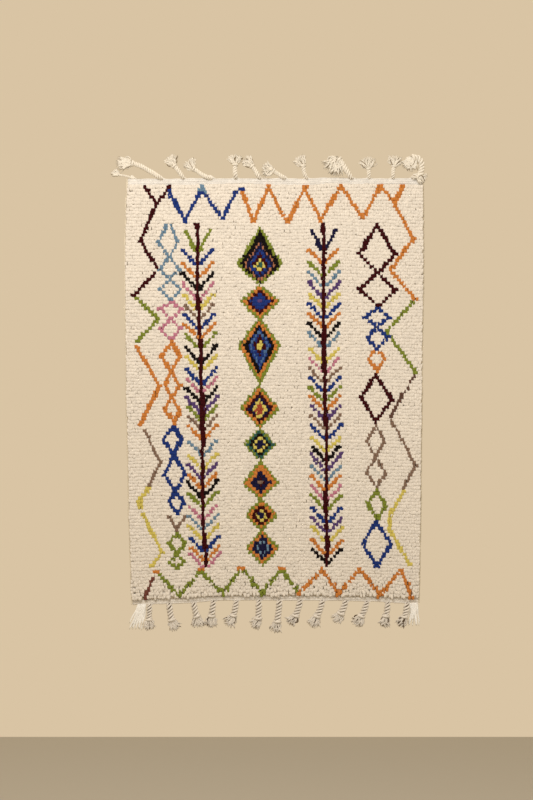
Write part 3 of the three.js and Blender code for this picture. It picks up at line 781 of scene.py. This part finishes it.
def build_band(name, node, share, upper_gap, lower_gap, ribs, material):
    """A strip of weft-faced weave along one end, its wefts as ribs over and under the warps."""
    u = np.arange(BAND_STEPS + 1) / BAND_STEPS
    across, down = pile_place(u, np.full(BAND_STEPS + 1, float(share)))
    upper = down + upper_gap
    lower = down + lower_gap
    uneven = BAND_UNEVEN * waves(across, BAND_EDGE_WAVES)
    rings = []
    total = ribs * RIB_STEPS
    for point in range(total + 1):
        part = point / total
        rib = point // RIB_STEPS
        crown = math.sin(part * math.pi)
        swell = math.sin((point % RIB_STEPS) / RIB_STEPS * math.pi)
        over_warp = np.cos(np.arange(BAND_STEPS + 1) * WARP_TURN + rib * math.pi)
        drift = waves(across, RIB_WAVES, rib)
        height = BAND_THICKNESS * (BAND_FLAT_SHARE + BAND_CROWN_SHARE * crown)
        height = height + swell * (RIB_HEIGHT + RIB_OVER_WARP * over_warp + RIB_DRIFT * drift)
        edge = (part - 0.5) * 2
        on_outer_half = edge * (share - 0.5) > 0
        at = upper + (lower - upper) * part + drift * crown
        at = at + edge * uneven * (1 if on_outer_half else BAND_INNER_SHARE)
        rings.append(np.stack([across, -height, -at], axis=-1))
    for at in (lower, upper):
        rings.append(np.stack([across, np.full(BAND_STEPS + 1, BAND_BACK), -at], axis=-1))
    points = np.stack(rings, axis=1)
    count = points.shape[1]
    ring_starts = np.arange(BAND_STEPS)[:, None] * count
    a = (ring_starts + np.arange(count)).ravel()
    b = (ring_starts + (np.arange(count) + 1) % count).ravel()
    walls = np.stack([b, a, a + count, b + count], axis=-1)
    caps = np.stack([np.arange(count), np.arange(count)[::-1] + BAND_STEPS * count])
    return add_piece(name, points.reshape(-1, 3), [walls, caps], material, "fringe_wool", [node])


# Cords and tassels

def spline(points, spacing):
    """Points at even steps along a smooth curve through the given ones, and its length."""
    samples = 24
    fewest = 4
    points = np.asarray(points, float)
    padded = np.concatenate([[2 * points[0] - points[1]], points, [2 * points[-1] - points[-2]]])
    t = np.linspace(0, 1, samples, endpoint=False)[:, None]
    runs = []
    for p0, p1, p2, p3 in zip(padded, padded[1:], padded[2:], padded[3:]):
        runs.append(0.5 * (2 * p1 + (p2 - p0) * t + (2 * p0 - 5 * p1 + 4 * p2 - p3) * t ** 2
                           + (3 * p1 - p0 - 3 * p2 + p3) * t ** 3))
    dense = np.concatenate([*runs, points[-1:]])
    length = np.concatenate([[0], np.cumsum(np.linalg.norm(np.diff(dense, axis=0), axis=1))])
    count = max(fewest, int(length[-1] / spacing)) + 1
    at = np.linspace(0, length[-1], count)
    return np.stack([np.interp(at, length, dense[:, axis]) for axis in range(3)], axis=-1), length[-1]


def frame_along(path):
    """Directions ahead, sideways and outward at each point of a path."""
    ahead = unit(np.gradient(path, axis=0))
    sideways = unit(np.cross((0, 1, 0), ahead))
    return ahead, sideways, np.cross(ahead, sideways)


def ring_round(angles, sideways, outward):
    """Directions at the given angles round a path."""
    return np.cos(angles)[:, None] * sideways + np.sin(angles)[:, None] * outward


def overhand_knot(path, directions, size):
    """About a turn and a half of the yarn round the cord near its end."""
    at = max(0, len(path) - 1 - int(KNOT_FROM_END / TASSEL_STEP))
    ahead, sideways, outward = (direction[at] for direction in directions)
    radius = TASSEL_RADIUS * size
    angles = np.linspace(0, 2 * math.pi * KNOT_TURNS, KNOT_POINTS)
    shift = np.linspace(-KNOT_SHIFT, KNOT_SHIFT, KNOT_POINTS)[:, None] * size
    loop = path[at] + ring_round(angles, sideways, outward) * radius * KNOT_RADIUS + ahead * shift
    loop[:, 1] = np.minimum(loop[:, 1], KNOT_NEAREST_WALL)
    return tubes(loop[None], radius * KNOT_YARN_RADIUS, KNOT_SIDES, ahead)


def mop_strands(end, radius, length, angle, fan, count, rng):
    """Paths and radii of the loose strands that fan out from a cord's end."""
    heading = math.radians(angle)
    forward = np.array([math.cos(heading), 0, math.sin(heading)])
    over = np.array([-math.sin(heading), 0, math.cos(heading)])
    into = np.array([0, 1, 0])
    spread = rng.uniform(-1, 1, count)
    depth = rng.uniform(-1, 1, count)
    swing = math.radians(fan / 2) * spread
    reach = length * (MOP_MIDDLE_REACH - MOP_SIDE_LOSS * spread ** 2)
    reach = reach * rng.uniform(*MOP_REACHES, count) ** MOP_REACH_POWER
    start = end - forward * MOP_INSET + over * (spread * radius * MOP_ROOT_WIDTH)[:, None]
    start = start + into * (depth * radius * MOP_ROOT_DEPTH)[:, None]
    way = forward * np.cos(swing)[:, None] + over * np.sin(swing)[:, None]
    way = way + into * (depth * MOP_DEPTH_FAN)[:, None]
    curl = over * rng.normal(0, MOP_CURL, count)[:, None]
    curl = curl + into * rng.normal(0, MOP_CURL_INTO, count)[:, None]
    reach = reach[:, None, None]
    t = np.linspace(0, 1, MOP_POINTS)[None, :, None]
    strands = start[:, None] + way[:, None] * (reach + MOP_INSET) * t
    strands = strands + curl[:, None] * reach * np.sin(t * 2 * math.pi * MOP_CURL_TURNS)
    strands[..., 1] = np.clip(strands[..., 1], *MOP_PLACES)
    taper = np.linspace(1, MOP_TAPER, MOP_POINTS - 2)
    return strands, taper[None] * rng.uniform(*MOP_RADII, count)[:, None]


def tassel(points, size, mop_length, mop_angle, mop_fan, yarn, seed):
    """A twisted cord with its knot and loose mop. Its dark core between the plies and its dark mop strands
    are painted shade, in the grooves and inside the mop.
    """
    rng = np.random.default_rng(SEED + seed)
    ply_count, strands_per_mm, painted_shade_share, ply_offset, ply_radius = yarn
    radius = TASSEL_RADIUS * size
    path, length = spline([(across, 0, up) for across, up in points], TASSEL_STEP)
    along = np.linspace(0, length, len(path))
    full = radius * (CORD_WAIST + (1 - CORD_WAIST) * np.clip(along / CORD_WAIST_LENGTH, 0, 1))
    full = full * (1 + CORD_UNEVEN * np.sin(along / CORD_UNEVEN_RUN + seed))
    path[:, 1] = -full - CORD_WALL_GAP
    directions = frame_along(path)
    plies = []
    for ply in range(ply_count):
        angles = 2 * math.pi * (along / (TASSEL_PITCH * size) + ply / ply_count) + seed
        plies.append(path + ring_round(angles, *directions[1:]) * (full * ply_offset)[:, None])
    ring_radii = full[None, 1:-1]
    strand_count = int(mop_length * strands_per_mm)
    strands, strand_radii = mop_strands(path[-1], radius, mop_length, mop_angle, mop_fan, strand_count, rng)
    pale = int(strand_count * (1 - painted_shade_share))
    mop_reference = (0.2, 1, 0.1)
    body = [
        tubes(np.stack(plies), ring_radii * ply_radius, CORD_SIDES, (0, 1, 0)),
        overhand_knot(path, directions, size),
        tubes(strands[:pale], strand_radii[:pale], MOP_SIDES, mop_reference),
    ]
    # Painted shade: a dark core seen in the grooves between the plies, and dark strands inside the mop
    shade_core = [
        tubes(path[None], ring_radii * CORE_RADIUS, CORD_SIDES, (0, 1, 0)),
        tubes(strands[pale:], strand_radii[pale:], MOP_SIDES, mop_reference),
    ]
    return join(body), join(shade_core)


def root_threads(root, next_across, base, way):
    """Warps drawn together from the band's edge into the root of a tassel. Way is 1 for a tassel
    that points up and -1 for one that points down."""
    share = np.linspace(-1, 1, ROOT_THREADS)
    stations = []
    for rise, place, half_spread, onward in ROOT_STATIONS:
        across = root + (next_across - root) * onward + share * half_spread
        level = np.ones(ROOT_THREADS)
        stations.append(np.stack([across, place * level, (base + rise * way) * level], axis=-1)[:, None])
    start, middle, end = stations
    t = np.linspace(0, 1, ROOT_THREAD_POINTS)[None, :, None]
    paths = start * (1 - t) ** 2 + middle * 2 * t * (1 - t) + end * t ** 2
    return tubes(paths, ROOT_THREAD_RADIUS, ROOT_THREAD_SIDES, (0, 1, 0))


def brush(root, foot, lowest, width, seed):
    """Loose warp ends at a corner, hanging as single strands."""
    rng = np.random.default_rng(SEED + seed)
    count = BRUSH_STRANDS
    share = np.linspace(-0.5, 0.5, count) + rng.normal(0, BRUSH_SCATTER, count)
    share = share - BRUSH_GATHER * (share - np.round(share * BRUSH_LOCKS) / BRUSH_LOCKS)
    start_x = root + share * BRUSH_ROOT_WIDTH
    start_down = pile_end(start_x) + BOTTOM_BAND_HEIGHT - BRUSH_ROOT_INSET
    start = np.stack([start_x, rng.uniform(*BRUSH_ROOT_PLACES, count), -start_down], axis=-1)
    tip_z = -(lowest - rng.uniform(0, BRUSH_UNEVEN, count))
    tip = np.stack([foot + share * width, rng.uniform(*BRUSH_TIP_PLACES, count), tip_z], axis=-1)
    t = np.linspace(0, 1, BRUSH_POINTS)[None, :, None]
    bow = rng.normal(0, BRUSH_BOW, (count, 1, 1)) * np.array([1, BRUSH_BOW_INTO, 0])
    paths = start[:, None] + (tip - start)[:, None] * t + bow * np.sin(t * math.pi)
    phases = rng.uniform(*BRUSH_WAVE_PHASES, (count, 1, 1))
    paths = paths + BRUSH_WAVE * np.sin(t * BRUSH_WAVE_TURN + phases) * np.array([1, 0, 0])
    paths[..., 1] = np.minimum(paths[..., 1], BRUSH_NEAREST_WALL)
    return tubes(paths, np.linspace(*BRUSH_RADII, BRUSH_POINTS - 2)[None], BRUSH_SIDES, (0, 1, 0))


def build_top_fringe(material, shade_core_material):
    parts = []
    shade_cores = []
    for index, (points, *rest) in enumerate(TOP_TASSELS):
        body, shade_core = tassel(points, *rest, TOP_YARN, index + TOP_TASSEL_SEED)
        root, next_across = points[0][0], points[1][0]
        band_top = float(read_table(END_EDGES, "across", root, "top"))
        parts += [body, root_threads(root, next_across, -band_top - ROOT_THREAD_INSET, 1)]
        shade_cores.append(shade_core)
    return [
        add_piece("top_tassels", *join(parts), material, "fringe_wool", ["top_fringe"]),
        # Painted shade: the dark cores and dark mop strands of the top tassels
        add_piece("top_tassel_shade_cores", *join(shade_cores), shade_core_material, "fringe_wool", ["top_fringe"]),
    ]


def build_bottom_fringe(material, shade_core_material, brush_material):
    parts = []
    shade_cores = []
    for index, (root, end, down, *rest) in enumerate(BOTTOM_TASSELS):
        band_low = float(pile_end(root)) + BOTTOM_BAND_HEIGHT
        bow = root + (end - root) * BOTTOM_CORD_BOW
        start = CORD_INSET - band_low
        points = ((root, start), (bow, (start - down) / 2), (end, -down))
        body, shade_core = tassel(points, *rest, BOTTOM_YARN, index + BOTTOM_TASSEL_SEED)
        parts += [body, root_threads(root, bow, ROOT_THREAD_INSET - band_low, -1)]
        shade_cores.append(shade_core)
    brushes = [brush(*corner, index + BRUSH_SEED) for index, corner in enumerate(CORNER_BRUSHES)]
    return [
        add_piece("bottom_tassels", *join(parts), material, "fringe_wool", ["bottom_fringe"]),
        # Painted shade: the dark cores and dark mop strands of the bottom tassels
        add_piece("bottom_tassel_shade_cores", *join(shade_cores), shade_core_material, "fringe_wool", ["bottom_fringe"]),
        add_piece("corner_brushes", *join(brushes), brush_material, "fringe_wool", ["bottom_fringe"]),
    ]


def build_side_cord(name, side, node, material):
    """Overcast cord: wool wrapped round the outer warps, each wrap a small ridge."""
    end = float(pile_end(side * SIDE_CORD_ACROSS)) + BOTTOM_BAND_HEIGHT - SIDE_CORD_INSET
    down = np.arange(SIDE_CORD_INSET, end, WRAP_PITCH / WRAP_STEPS)
    edge = left_edge(down) if side < 0 else right_edge(down)
    across = edge + side * (SIDE_CORD_RADIUS + SIDE_CORD_GAP) + waves(down, SIDE_CORD_WAVES)
    place = np.full(len(down), -SIDE_CORD_RADIUS - SIDE_CORD_WALL_GAP)
    path = np.stack([across, place, -down], axis=-1)
    round_wrap = np.cos(np.arange(len(down)) * 2 * math.pi / WRAP_STEPS)[:, None]
    ridge = (1 - round_wrap) / 2
    angles = np.arange(SIDE_CORD_SIDES) * 2 * math.pi / SIDE_CORD_SIDES
    tilt = WRAP_TILT * np.sin(angles)[None] * round_wrap
    radii = SIDE_CORD_RADIUS - WRAP_HOLLOW + WRAP_RIDGE * ridge + tilt
    points, faces = tubes(path[None], radii[None, 1:-1], SIDE_CORD_SIDES, (0, 1, 0))
    return add_piece(name, points, faces, material, "selvedge_wool", [node])


# Floor, lights and camera

def plain_material(name, colour, roughness):
    material = bpy.data.materials.new(name)
    material.use_nodes = True
    shader = material.node_tree.nodes["Principled BSDF"]
    shader.inputs["Base Color"].default_value = (*linear(colour), 1)
    shader.inputs["Roughness"].default_value = roughness
    return material


def build_floor():
    height = (TOP_EDGE_PIXEL - FLOOR_LINE_PIXEL) * MM_PER_PIXEL * MM
    corners = [(-FLOOR_HALF_WIDTH, FLOOR_NEAR, height), (FLOOR_HALF_WIDTH, FLOOR_NEAR, height),
               (FLOOR_HALF_WIDTH, FLOOR_FAR, height), (-FLOOR_HALF_WIDTH, FLOOR_FAR, height)]
    mesh = bpy.data.meshes.new("floor")
    mesh.from_pydata(corners, [], [(0, 1, 2, 3)])
    mesh.materials.append(plain_material("floor", FLOOR_COLOUR, FLOOR_ROUGHNESS))
    floor = bpy.data.objects.new("floor", mesh)
    bpy.context.collection.objects.link(floor)


def add_light(name, place, target, size, watts, colour):
    light = bpy.data.lights.new(name, "AREA")
    light.shape = "DISK"
    light.size = size
    light.energy = watts
    light.color = colour
    lamp = bpy.data.objects.new(name, light)
    bpy.context.collection.objects.link(lamp)
    lamp.location = place
    aim = target[0] - place[0], target[1] - place[1], target[2] - place[2]
    lamp.rotation_euler = Vector(aim).to_track_quat("-Z", "Y").to_euler()


def build_lights():
    world = bpy.data.worlds.new("studio")
    world.use_nodes = True
    background = world.node_tree.nodes["Background"]
    background.inputs["Color"].default_value = (*linear(BACKDROP_COLOUR), 1)
    background.inputs["Strength"].default_value = 1.0
    bpy.context.scene.world = world
    for light in LIGHTS:
        add_light(*light)


def build_camera():
    view_height = IMAGE_HEIGHT * MM_PER_PIXEL
    data = bpy.data.cameras.new("camera")
    data.sensor_width = SENSOR_WIDTH
    data.lens = SENSOR_WIDTH * CAMERA_DISTANCE / view_height
    camera = bpy.data.objects.new("camera", data)
    bpy.context.collection.objects.link(camera)
    across = (IMAGE_WIDTH / 2 - RUG_MIDDLE_PIXEL) * MM_PER_PIXEL
    up = (TOP_EDGE_PIXEL - IMAGE_HEIGHT / 2) * MM_PER_PIXEL
    camera.location = (across * MM, -CAMERA_DISTANCE * MM, up * MM)
    camera.rotation_euler = (math.pi / 2, 0, 0)
    bpy.context.scene.camera = camera


bpy.context.scene.view_settings.view_transform = "Standard"
build_camera()
build_lights()
build_floor()

band_wool = wool("band_wool", (228, 225, 220), clump=60, fibre=(500, 900, 2600), root_shade=0.0)
top_wool = wool("top_tassel_wool", (236, 230, 218), clump=110, fibre=(2200, 2200, 700), root_shade=0.0,
                darkest=0.88)
bottom_wool = wool("bottom_tassel_wool", (234, 228, 219), clump=150, fibre=(2200, 2200, 700), root_shade=0.0,
                   darkest=0.8)
brush_wool = wool("brush_wool", (255, 252, 246), clump=110, fibre=(2200, 2200, 700), root_shade=0.0)
# Dark wool painted as the shade in the grooves between the tassels' plies and inside their mops
top_core_shade_wool = wool("top_core_shade_wool", (146, 130, 106), root_shade=0.0)
bottom_core_shade_wool = wool("bottom_core_shade_wool", (100, 85, 68), root_shade=0.0)
ground_wool = wool("ground_wool", (224, 211, 186), clump=70, fibre=(500, 2000, 2600), root_shade=0.0)
side_wool = wool("selvedge_wool", (228, 219, 200), clump=70, fibre=(1200, 1200, 3000), root_shade=0.0)

ground = build_ground(ground_wool)
on_cloth = build_pile(lock_chart())
on_cloth.append(build_band("top_band", "top_fringe", 0, -PILE_TOP, -BAND_GAP, TOP_BAND_RIBS, band_wool))
on_cloth.append(build_band("bottom_band", "bottom_fringe", 1, BAND_GAP, BOTTOM_BAND_HEIGHT,
                           BOTTOM_BAND_RIBS, bottom_wool))
on_cloth += build_top_fringe(top_wool, top_core_shade_wool)
on_cloth += build_bottom_fringe(bottom_wool, bottom_core_shade_wool, brush_wool)
on_cloth.append(build_side_cord("side_cord_left", -1, "selvedge_left", side_wool))
on_cloth.append(build_side_cord("side_cord_right", 1, "selvedge_right", side_wool))
